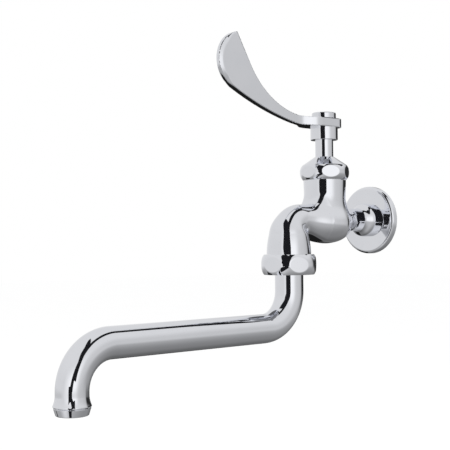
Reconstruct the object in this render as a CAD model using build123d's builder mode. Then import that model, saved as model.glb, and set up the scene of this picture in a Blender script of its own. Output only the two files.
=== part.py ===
from build123d import *
import os

# Wall-mounted cold water tap: globe-valve body, wrist-blade lever and swivel spout.
# Millimetres, +Z up. The origin is where the inlet axis meets the face of the wall,
# which is the plane y = 0. The tap stands off the wall along -Y. The valve is shut.

os.makedirs("parts", exist_ok=True)

# Fits between pieces
running = 0.05        # radial clearance of a turning or screwed fit
assembly = 0.1        # clearance of pieces that are put together once
face_gap = 0.05       # axial clearance between faces that turn on each other
nut_gap = 0.4         # what a tightened nut leaves free of the shoulder before it

# Main axes
valve_reach = 48.5    # wall face to the valve axis
swivel_step = 35.6    # valve axis to the swivel axis
spout_reach = 168.8   # swivel axis to the outlet axis
run_drop = 71.6       # inlet axis down to the level run of the spout

# Inlet shank and its pipe thread, nominal half inch
thread_r = 20.955 / 2
thread_length = 15.0
thread_chamfer = 1.0
thread_relief = 0.3   # plain neck under the cover plate, where the thread runs out
inlet_bore_r = 5.75
shank_wall = 2.25
collar_r = 11.8
collar_edge = 0.8
collar_sweep = 13.0   # length over which the shank flares out to the collar

# Cover plate on the wall
flange_r = 24.1
flange_depth = 5.0
flange_rim = 1.5
flange_sheet = 1.4
flange_hub = 2.8

# Valve seat and the chambers on both sides of it
seat_plate_z = -3.0
seat_plate = 3.5
seat_rise = 1.0
seat_bore_r = 6.0
seat_land = 1.6
lower_chamber_r = 8.5
lower_chamber_depth = 9.0
chamber_gap = 1.3     # room round the jumper valve
upper_chamber_z = 16.0
inlet_wall = 5.3      # between the inlet bore and the upper chamber
feed_r = 4.5
feed_drop = 1.5
feed_tilt = 28.0
feed_length = 15.0

# Body casting
bulge_wall = 8.8
bulge_half_height = 13.6
bulge_z = -2.75
quarter_pull = 0.5523 # handle of a Bezier quarter ellipse, as a share of its half axis
shoulder_pull = 5.0   # handles of the curve from the bulge up into the neck
neck_wall = 4.55      # between the lift thread and the thread of the cap nut
neck_shoulder = 1.6
neck_taper = 0.6
neck_foot_z = 9.2
neck_shoulder_z = 26.9
neck_thread_length = 8.6
shank_blend_r = 10.5
branch_blend_r = 2.5

# Outlet branch, its bend and the leg over the spout
branch_bore_r = 7.0
branch_wall = 3.0
branch_inset = 3.5
branch_straight = 17.5
duct_inset = 12.0
duct_bend_r = 12.1
elbow_swell = 0.9
elbow_back = 5.0
elbow_drop = 1.5
leg_top_z = -8.0
leg_taper = 2.1
leg_shoulder = 1.8
leg_shoulder_z = -23.4
leg_thread_length = 7.6
leg_wall = 1.7        # between the seal bore and the thread of the swivel nut

# Jumper valve
valve_lift = 3.5      # rise of the valve over the lever's quarter turn
washer_thickness = 2.5
jumper_rim = 0.3
jumper_plate = 2.0
jumper_stem_r = 3.0
jumper_stem_length = 11.0
jumper_stem_chamfer = 0.5
jumper_stud_r = 2.0
jumper_stud_tip = 0.6
jumper_nut_flats = 7.0
jumper_nut_height = 2.4

# Spindle
lift_thread_step = 0.7
spindle_foot_r = 6.0
stem_r = 6.2
stem_show = 11.7      # bare stem between the cap nut and the lever
drive_square = 8.0
drive_height = 7.4
drive_chamfer = 0.5

# Packing under the cap nut
packing_washer_thickness = 1.5
packing_washer_edge = 0.7
packing_rim = 1.2
packing_slope = 3.2
packing_height = 4.0

# Cap nut
cap_nut_wall = 3.35
cap_nut_swell = 1.3   # the barrel stands this far over the middle of each flat
cap_nut_foot_draw = 2.3
cap_nut_shoulder_draw = 1.8
cap_nut_belly = 5.9
cap_nut_barrel = 9.8
cap_nut_crown = 2.3
cap_nut_edge = 0.45
cap_nut_turn = -4.4   # how far the tightened nut stands off square, in degrees

# Lever
boss_r = 9.45
boss_height = 8.6
hub_height = 6.1
hub_half_width = 9.5
hub_back = 11.3
hub_corner = 6.6
hub_front = 11.0
blade_start = 28.5
blade_half = 2.5
blade_edge = 0.9
lower_sweep_start = 23.5
lower_sweep_tilt = 10.0
lower_sweep_r = 225.0
lower_sweep_angle = 17.0
nose_r = 18.7
nose_angle = 140.0
upper_sweep_start = 18.0
upper_sweep_r = 60.5
upper_sweep_angle = 60.0

# Screw and cap on the lever
screw_r = 2.5
screw_length = 12.0
screw_head_r = 4.5
screw_head = 2.4
screw_head_edge = 0.8
screw_point = 1.0     # free depth of the tapped hole under the screw
spring_washer = 0.9
recess_r = 6.0
recess_depth = 3.5
cap_r = 8.3
cap_side = 4.2
cap_dome = 0.7
cap_edge = 0.6
cap_top = 1.5
cap_skirt = 0.9
cap_skirt_length = 2.2

# Swivel nut and spout bearing
swivel_nut_wall = 3.8
swivel_nut_swell = 2.15
swivel_nut_draw = 2.2
swivel_nut_gap = 0.2
swivel_lip = 2.3
swivel_hole_gap = 0.3
slip_ring_height = 1.6
slip_ring_gap = 0.25
retaining_ring_drop = 0.65
retaining_ring_height = 1.3
retaining_ring_stand = 1.7
retaining_ring_mouth = 4.0
ring_groove_depth = 0.5
seal_width = 1.65
seal_height = 4.8
seal_base = 1.2
seal_edge = 0.35
pipe_entry = 6.8      # length of pipe above the end of the leg

# Spout
pipe_r = 9.5
pipe_wall = 1.2
upper_bend_r = 24.0
lower_bend_r = 25.2
outlet_straight = 2.1
flare_length = 6.0
flare_out = 1.3
flare_lip = 0.5
socket_wall = 0.6
outlet_groove = 0.4
ring_height = 4.4
ring_step = 0.2
ring_draw = 1.4
ring_edge = 0.4
spigot_length = 3.8
spigot_wall = 0.9
mouth_draw = 0.75
mouth_lip = 1.3
straightener_height = 6.0
channel_r = 1.25      # to the corners of a channel
channel_rings = 2
channel_web = 0.15
screen_thickness = 0.4
screen_hole = 2.0
screen_wire = 0.6
screen_rim = 0.5

# Where the axes stand
swivel_reach = valve_reach + swivel_step
outlet_reach = swivel_reach + spout_reach
inlet_axis = Axis.Y
valve_axis = Axis((0, -valve_reach, 0), (0, 0, 1))
swivel_axis = Axis((0, -swivel_reach, 0), (0, 0, 1))
outlet_axis = Axis((0, -outlet_reach, 0), (0, 0, 1))
valve_side = Plane.XZ.offset(valve_reach)
swivel_side = Plane.XZ.offset(swivel_reach)
outlet_side = Plane.XZ.offset(outlet_reach)

# Radii that follow from one another along the valve, from the seat outwards
washer_r = seat_bore_r + seat_land
jumper_plate_r = washer_r + jumper_rim
upper_chamber_r = jumper_plate_r + chamber_gap
lift_thread_r = upper_chamber_r - lift_thread_step
neck_thread_r = lift_thread_r + running + neck_wall
neck_r = neck_thread_r + neck_shoulder
neck_waist_r = neck_r - neck_taper
bulge_r = upper_chamber_r + bulge_wall
shank_r = inlet_bore_r + shank_wall

# Heights that follow from one another up the valve
seat_plate_top_z = seat_plate_z + seat_plate
seat_z = seat_plate_top_z + seat_rise
jumper_plate_z = seat_z + washer_thickness
jumper_top_z = jumper_plate_z + jumper_plate
neck_top_z = neck_shoulder_z + neck_thread_length
packing_z = neck_top_z + packing_washer_thickness
packing_top_z = packing_z + packing_height
cap_nut_top_z = packing_top_z + cap_nut_crown
stem_top_z = cap_nut_top_z + stem_show
hub_bottom_z = stem_top_z + boss_height
hub_top_z = hub_bottom_z + hub_height
recess_z = hub_top_z - recess_depth
screw_seat_z = recess_z + spring_washer

# Radii and heights of the swivel, from the pipe outwards and from the leg down
seal_bore_r = pipe_r + 2 * running + seal_width
leg_thread_r = seal_bore_r + leg_wall
leg_r = leg_thread_r + leg_shoulder
branch_r = branch_bore_r + branch_wall
leg_end_z = leg_shoulder_z - leg_thread_length
pipe_top_z = leg_end_z + pipe_entry
retaining_ring_top_z = leg_end_z - retaining_ring_drop
retaining_ring_z = retaining_ring_top_z - retaining_ring_height
slip_ring_z = retaining_ring_z - face_gap - slip_ring_height
swivel_nut_foot_z = slip_ring_z - swivel_lip
swivel_nut_top_z = leg_shoulder_z - swivel_nut_gap
pipe_bore_r = pipe_r - pipe_wall
ring_groove_r = pipe_r - ring_groove_depth
retaining_ring_r = pipe_r + retaining_ring_stand

# Heights and radii of the outlet
bend_end_z = -run_drop - lower_bend_r
flare_top_z = bend_end_z - outlet_straight
flare_end_z = flare_top_z - flare_length
ring_top_z = flare_end_z - outlet_groove
mouth_z = ring_top_z - ring_height
spigot_top_z = flare_end_z + spigot_length
flare_r = pipe_r + flare_out
socket_r = pipe_r - socket_wall
spigot_r = socket_r - running
outlet_bore_r = spigot_r - spigot_wall
mouth_r = outlet_bore_r - mouth_draw
straightener_r = outlet_bore_r - running
straightener_z = mouth_z + mouth_lip


def valve_level(z):
    """Level plane at height z, centred on the valve axis."""
    return Plane((0, -valve_reach, z))


def swivel_level(z):
    """Level plane at height z, centred on the swivel axis."""
    return Plane((0, -swivel_reach, z))


def outlet_level(z):
    """Level plane at height z, centred on the outlet axis."""
    return Plane((0, -outlet_reach, z))


def round_bar(plane, radius, length, mode=Mode.ADD):
    """Extrude a circle from the plane, to add a cylinder to the open part or cut one."""
    with BuildSketch(plane) as disc:
        Circle(radius)
    extrude(disc.sketch, amount=length, mode=mode)


def ring_bar(plane, outer_r, inner_r, length, mode=Mode.ADD):
    """Extrude a ring from the plane, to add a tube to the open part or cut one."""
    with BuildSketch(plane) as disc:
        Circle(outer_r)
        Circle(inner_r, mode=Mode.SUBTRACT)
    extrude(disc.sketch, amount=length, mode=mode)


# Body: bulge and neck are turned about the valve axis, the shank about the inlet axis,
# and the outlet branch is lofted round its bend to the leg over the spout.
bulge_foot_z = bulge_z - bulge_half_height
collar_y = -flange_depth - collar_edge
elbow_plane = Plane((0, elbow_back - swivel_reach, -elbow_drop), x_dir=(1, 0, 0), z_dir=(0, -1, -1))
inlet_bore_end = valve_reach - upper_chamber_r - inlet_wall
feed_way = Vector(0, -1, 0).rotate(Axis.X, feed_tilt)
feed_plane = Plane((0, feed_r - inlet_bore_end, -feed_drop), x_dir=(1, 0, 0), z_dir=feed_way)
seal_room_z = pipe_top_z + assembly

with BuildPart() as body:
    with BuildSketch(valve_side):
        with BuildLine():
            bowl = Bezier(
                (0, bulge_foot_z), (quarter_pull * bulge_r, bulge_foot_z),
                (bulge_r, bulge_z - quarter_pull * bulge_half_height), (bulge_r, bulge_z),
            )
            neck_line = Line((neck_waist_r, neck_foot_z), (neck_r, neck_shoulder_z))
            neck_pull = neck_line @ 0 - shoulder_pull * (neck_line % 0)
            Bezier(bowl @ 1, (bulge_r, bulge_z + shoulder_pull), neck_pull, neck_line @ 0)
            Line(neck_line @ 1, (0, neck_shoulder_z))
            Line((0, neck_shoulder_z), bowl @ 0)
        make_face()
    revolve(axis=valve_axis)

    with BuildSketch(Plane.YZ):
        with BuildLine():
            Line((-valve_reach, 0), (-valve_reach, shank_r))
            Line((-valve_reach, shank_r), (collar_y - collar_sweep, shank_r))
            TangentArc((collar_y - collar_sweep, shank_r), (collar_y, collar_r), tangent=(1, 0))
            Line((collar_y, collar_r), (-flange_depth, collar_r))
            Line((-flange_depth, collar_r), (-flange_depth, 0))
            Line((-flange_depth, 0), (-valve_reach, 0))
        make_face()
    revolve(axis=inlet_axis)
    shank_root = body.edges(Select.NEW).filter_by(GeomType.BSPLINE)
    fillet(shank_root, shank_blend_r)

    with BuildSketch(Plane.XZ.offset(valve_reach + branch_inset)):
        Circle(branch_r)
    with BuildSketch(Plane.XZ.offset(valve_reach + branch_straight)):
        Circle(branch_r)
    with BuildSketch(elbow_plane):
        Circle(branch_r + elbow_swell)
    with BuildSketch(Plane((0, -swivel_reach, leg_top_z), x_dir=(1, 0, 0), z_dir=(0, 0, -1))):
        Circle(leg_r - leg_taper)
    with BuildSketch(Plane((0, -swivel_reach, leg_shoulder_z), x_dir=(1, 0, 0), z_dir=(0, 0, -1))):
        Circle(leg_r)
    loft()
    branch_root = body.edges(Select.NEW).filter_by(GeomType.BSPLINE)
    fillet(branch_root, branch_blend_r)

    round_bar(valve_level(neck_shoulder_z), neck_thread_r, neck_thread_length)
    round_bar(swivel_level(leg_shoulder_z), leg_thread_r, -leg_thread_length)
    round_bar(Plane.XZ.offset(flange_depth), thread_r - thread_relief, -flange_depth)
    round_bar(Plane.XZ, thread_r, -thread_length)
    thread_end = body.faces().sort_by(Axis.Y)[-1].edges()
    chamfer(thread_end, thread_chamfer)

    # Waterway to the seat
    round_bar(Plane.XZ.offset(-thread_length), inlet_bore_r, thread_length + inlet_bore_end, Mode.SUBTRACT)
    round_bar(feed_plane, feed_r, feed_length, Mode.SUBTRACT)
    round_bar(valve_level(seat_plate_z), lower_chamber_r, -lower_chamber_depth, Mode.SUBTRACT)
    round_bar(valve_level(seat_plate_z), seat_bore_r, seat_plate + seat_rise, Mode.SUBTRACT)

    # Chamber over the seat, and the bore in which the spindle rises
    ring_bar(valve_level(seat_plate_top_z), upper_chamber_r, washer_r, seat_rise, Mode.SUBTRACT)
    round_bar(valve_level(seat_z), upper_chamber_r, upper_chamber_z - seat_z, Mode.SUBTRACT)
    round_bar(
        valve_level(upper_chamber_z), lift_thread_r + running, neck_top_z - upper_chamber_z, Mode.SUBTRACT
    )

    # Waterway from the chamber round the bend to the seal bore
    with BuildSketch(valve_side):
        Circle(branch_bore_r)
        with Locations((0, seat_plate_top_z - branch_bore_r)):
            Rectangle(2 * branch_bore_r, 2 * branch_bore_r, mode=Mode.SUBTRACT)
    extrude(amount=duct_inset, mode=Mode.SUBTRACT)
    with BuildLine(Plane.YZ):
        duct_run = Line((-valve_reach - duct_inset, 0), (duct_bend_r - swivel_reach, 0))
        duct_bend = JernArc(duct_run @ 1, duct_run % 1, duct_bend_r, 90)
        Line(duct_bend @ 1, (-swivel_reach, seal_room_z))
    with BuildSketch(Plane.XZ.offset(valve_reach + duct_inset)):
        Circle(branch_bore_r)
    sweep(mode=Mode.SUBTRACT)
    round_bar(swivel_level(leg_end_z), seal_bore_r, seal_room_z - leg_end_z, Mode.SUBTRACT)

body.part.label = "body"
export_step(body.part, "parts/body.step")

# Cover plate: a shallow dish with a hub that bears on the wall round the thread
with BuildPart() as wall_flange:
    round_bar(Plane.XZ, flange_r, flange_depth)
    front_rim = wall_flange.faces().sort_by(Axis.Y)[0].edges()
    fillet(front_rim, flange_rim)
    flange_hole_r = thread_r + assembly
    ring_bar(
        Plane.XZ, flange_r - flange_sheet, flange_hole_r + flange_hub,
        flange_depth - flange_sheet, Mode.SUBTRACT,
    )
    round_bar(Plane.XZ, flange_hole_r, flange_depth, Mode.SUBTRACT)

wall_flange.part.label = "wall_flange"
export_step(wall_flange.part, "parts/wall_flange.step")

# Packing washer, which lies on the neck
with BuildPart() as packing_washer:
    ring_bar(
        valve_level(neck_top_z), neck_thread_r - packing_washer_edge,
        stem_r + running, packing_washer_thickness,
    )

packing_washer.part.label = "packing_washer"
export_step(packing_washer.part, "parts/packing_washer.step")

# Packing cone, which the cap nut squeezes onto the stem
packing_base_r = neck_thread_r - packing_washer_edge - packing_rim
with BuildPart() as gland_packing:
    with BuildSketch(valve_level(packing_z)):
        Circle(packing_base_r)
    with BuildSketch(valve_level(packing_top_z)):
        Circle(packing_base_r - packing_slope)
    loft()
    round_bar(valve_level(packing_z), stem_r + running, packing_height, Mode.SUBTRACT)

gland_packing.part.label = "gland_packing"
export_step(gland_packing.part, "parts/gland_packing.step")

# Cap nut: a cone over a barrel with six milled flats, hollow over the thread and the packing
cap_nut_foot_z = neck_shoulder_z + nut_gap
cap_nut_belly_z = cap_nut_foot_z + cap_nut_belly
cap_nut_shoulder_z = cap_nut_foot_z + cap_nut_barrel
cap_nut_bore_r = neck_thread_r + running
cap_nut_flat_r = cap_nut_bore_r + cap_nut_wall
cap_nut_belly_r = cap_nut_flat_r + cap_nut_swell
with BuildPart() as cap_nut:
    with BuildSketch(valve_side):
        with BuildLine():
            barrel = ThreePointArc(
                (cap_nut_belly_r - cap_nut_foot_draw, cap_nut_foot_z),
                (cap_nut_belly_r, cap_nut_belly_z),
                (cap_nut_belly_r - cap_nut_shoulder_draw, cap_nut_shoulder_z),
            )
            cone = Line(barrel @ 1, (stem_r + running + cap_nut_edge, cap_nut_top_z))
            Line(cone @ 1, (0, cap_nut_top_z))
            Line((0, cap_nut_top_z), (0, cap_nut_foot_z))
            Line((0, cap_nut_foot_z), barrel @ 0)
        make_face()
    revolve(axis=valve_axis)
    with BuildSketch(valve_level(cap_nut_foot_z)):
        RegularPolygon(cap_nut_flat_r, 6, major_radius=False, rotation=cap_nut_turn)
    extrude(amount=cap_nut_top_z - cap_nut_foot_z, mode=Mode.INTERSECT)
    round_bar(valve_level(cap_nut_foot_z), cap_nut_bore_r, packing_z - cap_nut_foot_z, Mode.SUBTRACT)
    with BuildSketch(valve_level(packing_z)):
        Circle(packing_base_r + running)
    with BuildSketch(valve_level(packing_top_z)):
        Circle(packing_base_r - packing_slope + running)
    loft(mode=Mode.SUBTRACT)
    round_bar(valve_level(packing_top_z), stem_r + running, cap_nut_crown, Mode.SUBTRACT)

cap_nut.part.label = "cap_nut"
export_step(cap_nut.part, "parts/cap_nut.step")

# Jumper valve: a disc with a guide stem above and a stud for its washer below
with BuildPart() as jumper_valve:
    round_bar(valve_level(jumper_plate_z), jumper_plate_r, jumper_plate)
    round_bar(valve_level(jumper_top_z), jumper_stem_r, jumper_stem_length)
    stem_end = jumper_valve.faces().sort_by(Axis.Z)[-1].edges()
    chamfer(stem_end, jumper_stem_chamfer)
    round_bar(
        valve_level(jumper_plate_z), jumper_stud_r, -washer_thickness - jumper_nut_height - jumper_stud_tip
    )

jumper_valve.part.label = "jumper_valve"
export_step(jumper_valve.part, "parts/jumper_valve.step")

# Rubber washer that closes the seat, and the nut that holds it
with BuildPart() as jumper_washer:
    ring_bar(valve_level(seat_z), washer_r, jumper_stud_r + running, washer_thickness)

jumper_washer.part.label = "jumper_washer"
export_step(jumper_washer.part, "parts/jumper_washer.step")

with BuildPart() as jumper_nut:
    with BuildSketch(valve_level(seat_z)):
        RegularPolygon(jumper_nut_flats / 2, 6, major_radius=False)
        Circle(jumper_stud_r + running, mode=Mode.SUBTRACT)
    extrude(amount=-jumper_nut_height)

jumper_nut.part.label = "jumper_nut"
export_step(jumper_nut.part, "parts/jumper_nut.step")

# Spindle: foot on the jumper valve, lift thread in the neck, stem through the packing
lift_thread_z = upper_chamber_z - valve_lift - assembly
lift_thread_top_z = neck_top_z - valve_lift - assembly
screw_tip_z = screw_seat_z - screw_length
with BuildPart() as spindle:
    round_bar(valve_level(jumper_top_z), spindle_foot_r, lift_thread_z - jumper_top_z)
    round_bar(valve_level(lift_thread_z), lift_thread_r, lift_thread_top_z - lift_thread_z)
    round_bar(valve_level(lift_thread_top_z), stem_r, stem_top_z - lift_thread_top_z)
    with BuildSketch(valve_level(stem_top_z)):
        Rectangle(drive_square, drive_square)
    extrude(amount=drive_height)
    drive_end = spindle.faces().sort_by(Axis.Z)[-1].edges()
    chamfer(drive_end, drive_chamfer)
    round_bar(
        valve_level(jumper_top_z), jumper_stem_r + running, jumper_stem_length + assembly, Mode.SUBTRACT
    )
    round_bar(
        valve_level(stem_top_z + drive_height), screw_r + running,
        screw_tip_z - screw_point - stem_top_z - drive_height, Mode.SUBTRACT,
    )

spindle.part.label = "spindle"
export_step(spindle.part, "parts/spindle.step")

# Lever: its side outline is cut by its plan outline, then the boss goes under the hub
hub_y = -valve_reach
hub_end = (hub_y + hub_back, hub_bottom_z)
neck_y = hub_y - (hub_front + blade_start) / 2
with BuildPart() as lever_handle:
    with BuildSketch(Plane.YZ):
        with BuildLine():
            under_hub = Line(hub_end, (hub_y - lower_sweep_start, hub_bottom_z))
            blade_way = Vector(-1, 0, 0).rotate(Axis.Z, -lower_sweep_tilt)
            under_blade = JernArc(under_hub @ 1, blade_way, lower_sweep_r, -lower_sweep_angle)
            nose = JernArc(under_blade @ 1, under_blade % 1, nose_r, -nose_angle)
            over_hub = Line((hub_y + hub_back, hub_top_z), (hub_y - upper_sweep_start, hub_top_z))
            over_blade = JernArc(over_hub @ 1, over_hub % 1, upper_sweep_r, -upper_sweep_angle)
            Line(over_blade @ 1, nose @ 1)
            Line(over_hub @ 0, hub_end)
        make_face()
    extrude(amount=hub_half_width, both=True)
    side_box = lever_handle.part.bounding_box()
    with BuildSketch(Plane.XY.offset(hub_bottom_z)):
        with BuildLine():
            rear = Line((0, hub_y + hub_back), (hub_half_width - hub_corner, hub_y + hub_back))
            corner = JernArc(rear @ 1, rear % 1, hub_corner, -90)
            side = Line(corner @ 1, (hub_half_width, hub_y - hub_front))
            waist = Bezier(
                side @ 1, (hub_half_width, neck_y), (blade_half, neck_y), (blade_half, hub_y - blade_start)
            )
            edge = Line(waist @ 1, (blade_half, side_box.min.Y - nose_r))
            Line(edge @ 1, (0, side_box.min.Y - nose_r))
            mirror(about=Plane.YZ)
        make_face()
    extrude(amount=side_box.size.Z, mode=Mode.INTERSECT)
    fillet(lever_handle.edges(), blade_edge)
    round_bar(valve_level(stem_top_z), boss_r, boss_height + blade_edge)
    with BuildSketch(valve_level(stem_top_z)):
        Rectangle(drive_square + 2 * running, drive_square + 2 * running)
    extrude(amount=drive_height + assembly, mode=Mode.SUBTRACT)
    round_bar(valve_level(stem_top_z), screw_r + assembly, recess_z - stem_top_z, Mode.SUBTRACT)
    round_bar(valve_level(recess_z), recess_r, recess_depth, Mode.SUBTRACT)

lever_handle.part.label = "lever_handle"
export_step(lever_handle.part, "parts/lever_handle.step")

# Spring washer and screw that hold the lever down on the stem
with BuildPart() as screw_washer:
    ring_bar(valve_level(recess_z), screw_head_r, screw_r + assembly, spring_washer)

screw_washer.part.label = "screw_washer"
export_step(screw_washer.part, "parts/screw_washer.step")

with BuildPart() as handle_screw:
    round_bar(valve_level(screw_seat_z), screw_head_r, screw_head)
    head_top = handle_screw.faces().sort_by(Axis.Z)[-1].edges()
    chamfer(head_top, screw_head_edge)
    round_bar(valve_level(screw_seat_z), screw_r, -screw_length)

handle_screw.part.label = "handle_screw"
export_step(handle_screw.part, "parts/handle_screw.step")

# Index cap: a shallow dome whose skirt grips the recess of the lever
skirt_r = recess_r - assembly
with BuildPart() as index_cap:
    with BuildSketch(valve_side) as cap_profile:
        with BuildLine():
            dome = TangentArc(
                (0, hub_top_z + cap_side + cap_dome), (cap_r, hub_top_z + cap_side), tangent=(1, 0)
            )
            cap_wall = Line(dome @ 1, (cap_r, hub_top_z))
            Line(cap_wall @ 1, (0, hub_top_z))
            Line((0, hub_top_z), dome @ 0)
        make_face()
        dome_rim = cap_profile.vertices().group_by(Axis.X)[-1].sort_by(Axis.Y)[-1]
        fillet(dome_rim, cap_edge)
    revolve(axis=valve_axis)
    round_bar(valve_level(hub_top_z), skirt_r, -cap_skirt_length)
    round_bar(
        valve_level(hub_top_z - cap_skirt_length), skirt_r - cap_skirt,
        cap_skirt_length + cap_side - cap_top, Mode.SUBTRACT,
    )

index_cap.part.label = "index_cap"
export_step(index_cap.part, "parts/index_cap.step")

# Swivel nut: a barrel with six milled flats and an inner lip that carries the slip ring
swivel_nut_bore_r = leg_thread_r + running
swivel_nut_flat_r = swivel_nut_bore_r + swivel_nut_wall
swivel_nut_belly_r = swivel_nut_flat_r + swivel_nut_swell
swivel_nut_height = swivel_nut_top_z - swivel_nut_foot_z
with BuildPart() as swivel_nut:
    with BuildSketch(swivel_side):
        with BuildLine():
            swivel_barrel = ThreePointArc(
                (swivel_nut_belly_r - swivel_nut_draw, swivel_nut_foot_z),
                (swivel_nut_belly_r, swivel_nut_foot_z + swivel_nut_height / 2),
                (swivel_nut_belly_r - swivel_nut_draw, swivel_nut_top_z),
            )
            Line(swivel_barrel @ 1, (0, swivel_nut_top_z))
            Line((0, swivel_nut_top_z), (0, swivel_nut_foot_z))
            Line((0, swivel_nut_foot_z), swivel_barrel @ 0)
        make_face()
    revolve(axis=swivel_axis)
    with BuildSketch(swivel_level(swivel_nut_foot_z)):
        RegularPolygon(swivel_nut_flat_r, 6, major_radius=False)
    extrude(amount=swivel_nut_height, mode=Mode.INTERSECT)
    round_bar(swivel_level(slip_ring_z), swivel_nut_bore_r, swivel_nut_top_z - slip_ring_z, Mode.SUBTRACT)
    round_bar(swivel_level(swivel_nut_foot_z), pipe_r + swivel_hole_gap, swivel_lip, Mode.SUBTRACT)

swivel_nut.part.label = "swivel_nut"
export_step(swivel_nut.part, "parts/swivel_nut.step")

# Slip ring on the lip of the nut
with BuildPart() as slip_ring:
    ring_bar(
        swivel_level(slip_ring_z), swivel_nut_bore_r - slip_ring_gap, pipe_r + running, slip_ring_height
    )

slip_ring.part.label = "slip_ring"
export_step(slip_ring.part, "parts/slip_ring.step")

# Retaining ring: an open snap ring in the groove of the pipe
with BuildPart() as retaining_ring:
    ring_bar(
        swivel_level(retaining_ring_z), retaining_ring_r, ring_groove_r + running, retaining_ring_height
    )
    with BuildSketch(swivel_level(retaining_ring_z)):
        Rectangle(retaining_ring_mouth, 2 * retaining_ring_r, align=(Align.CENTER, Align.MAX))
    extrude(amount=retaining_ring_height, mode=Mode.SUBTRACT)

retaining_ring.part.label = "retaining_ring"
export_step(retaining_ring.part, "parts/retaining_ring.step")

# Lip seal round the top of the pipe, notched from above so that the water spreads its lips
seal_z = retaining_ring_top_z + face_gap
seal_top_z = seal_z + seal_height
seal_inner_r = pipe_r + running
seal_outer_r = seal_inner_r + seal_width
with BuildPart() as u_packing:
    ring_bar(swivel_level(seal_z), seal_outer_r, seal_inner_r, seal_height)
    with BuildSketch(swivel_side):
        with BuildLine():
            notch = Line((seal_inner_r + seal_edge, seal_top_z), (seal_outer_r - seal_edge, seal_top_z))
            notch_side = Line(notch @ 1, (seal_inner_r + seal_width / 2, seal_z + seal_base))
            Line(notch_side @ 1, notch @ 0)
        make_face()
    revolve(axis=swivel_axis, mode=Mode.SUBTRACT)

u_packing.part.label = "u_packing"
export_step(u_packing.part, "parts/u_packing.step")

# Spout pipe: one tube with two tangent bends, belled out at the mouth to take the outlet ring
with BuildPart() as spout_pipe:
    with BuildLine(Plane.YZ):
        down = Line((-swivel_reach, pipe_top_z), (-swivel_reach, upper_bend_r - run_drop))
        upper_bend = JernArc(down @ 1, down % 1, upper_bend_r, -90)
        run = Line(upper_bend @ 1, (lower_bend_r - outlet_reach, -run_drop))
        lower_bend = JernArc(run @ 1, run % 1, lower_bend_r, 90)
        Line(lower_bend @ 1, (-outlet_reach, flare_top_z))
    with BuildSketch(swivel_level(pipe_top_z)):
        Circle(pipe_r)
        Circle(pipe_bore_r, mode=Mode.SUBTRACT)
    sweep()
    with BuildSketch(outlet_side):
        with BuildLine():
            bell = Line((pipe_bore_r, flare_top_z), (pipe_r, flare_top_z))
            swell = TangentArc(bell @ 1, (flare_r, flare_end_z + flare_lip), tangent=(0, -1))
            lip = Line(swell @ 1, (flare_r, flare_end_z))
            foot = Line(lip @ 1, (socket_r, flare_end_z))
            socket = Line(foot @ 1, (socket_r, spigot_top_z + assembly))
            shoulder = Line(socket @ 1, (pipe_bore_r, spigot_top_z + assembly))
            Line(shoulder @ 1, bell @ 0)
        make_face()
    revolve(axis=outlet_axis)
    ring_bar(
        swivel_level(retaining_ring_z - face_gap), pipe_r, ring_groove_r,
        retaining_ring_height + 2 * face_gap, Mode.SUBTRACT,
    )

spout_pipe.part.label = "spout_pipe"
export_step(spout_pipe.part, "parts/spout_pipe.step")

# Outlet ring: spigot in the bell of the pipe, drawn-in mouth with a lip inside
with BuildPart() as outlet_ring:
    round_bar(outlet_level(ring_top_z), spigot_r, spigot_top_z - ring_top_z)
    with BuildSketch(outlet_level(ring_top_z)):
        Circle(flare_r - ring_step)
    with BuildSketch(outlet_level(mouth_z)):
        Circle(flare_r - ring_step - ring_draw)
    loft()
    mouth_rim = outlet_ring.faces().sort_by(Axis.Z)[0].edges()
    chamfer(mouth_rim, ring_edge)
    round_bar(outlet_level(straightener_z), outlet_bore_r, spigot_top_z - straightener_z, Mode.SUBTRACT)
    round_bar(outlet_level(mouth_z), mouth_r, mouth_lip, Mode.SUBTRACT)

outlet_ring.part.label = "outlet_ring"
export_step(outlet_ring.part, "parts/outlet_ring.step")

# Flow straightener on the lip of the ring, with rings of six-sided channels
channel_pitch = (mouth_r - channel_r - channel_web) / channel_rings
with BuildPart() as straightener:
    round_bar(outlet_level(straightener_z), straightener_r, straightener_height)
    with BuildSketch(outlet_level(straightener_z)):
        RegularPolygon(channel_r, 6)
        for ring in range(1, channel_rings + 1):
            with PolarLocations(ring * channel_pitch, 6 * ring):
                RegularPolygon(channel_r, 6)
    extrude(amount=straightener_height, mode=Mode.SUBTRACT)

straightener.part.label = "straightener"
export_step(straightener.part, "parts/straightener.step")

# Screen that keeps grit off the straightener: square openings wherever the rim leaves room
screen_z = straightener_z + straightener_height
screen_pitch = screen_hole + screen_wire
screen_reach = straightener_r - screen_rim - screen_hole / 2
screen_row = 2 * int(screen_reach / screen_pitch) + 1
screen_grid = GridLocations(screen_pitch, screen_pitch, screen_row, screen_row).locations
screen_spots = [spot for spot in screen_grid if spot.position.length < screen_reach]
with BuildPart() as outlet_screen:
    round_bar(outlet_level(screen_z), straightener_r, screen_thickness)
    with BuildSketch(outlet_level(screen_z)):
        with Locations(screen_spots):
            Rectangle(screen_hole, screen_hole)
    extrude(amount=screen_thickness, mode=Mode.SUBTRACT)

outlet_screen.part.label = "outlet_screen"
export_step(outlet_screen.part, "parts/outlet_screen.step")
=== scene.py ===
"""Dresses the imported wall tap: polished skins, pipe thread, plain materials and a pale studio.

Lengths are worked out in millimetres in the frame of the CAD model and written to the meshes
in metres. The valve, swivel and outlet axes are upright and the inlet axis runs along Y.
"""

from __future__ import annotations

import logging
import math
from dataclasses import dataclass
from enum import Enum
from typing import Callable, Iterable, Mapping, Sequence, Union

import bmesh
import bpy
import numpy as np
from mathutils import Matrix, Vector


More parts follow.
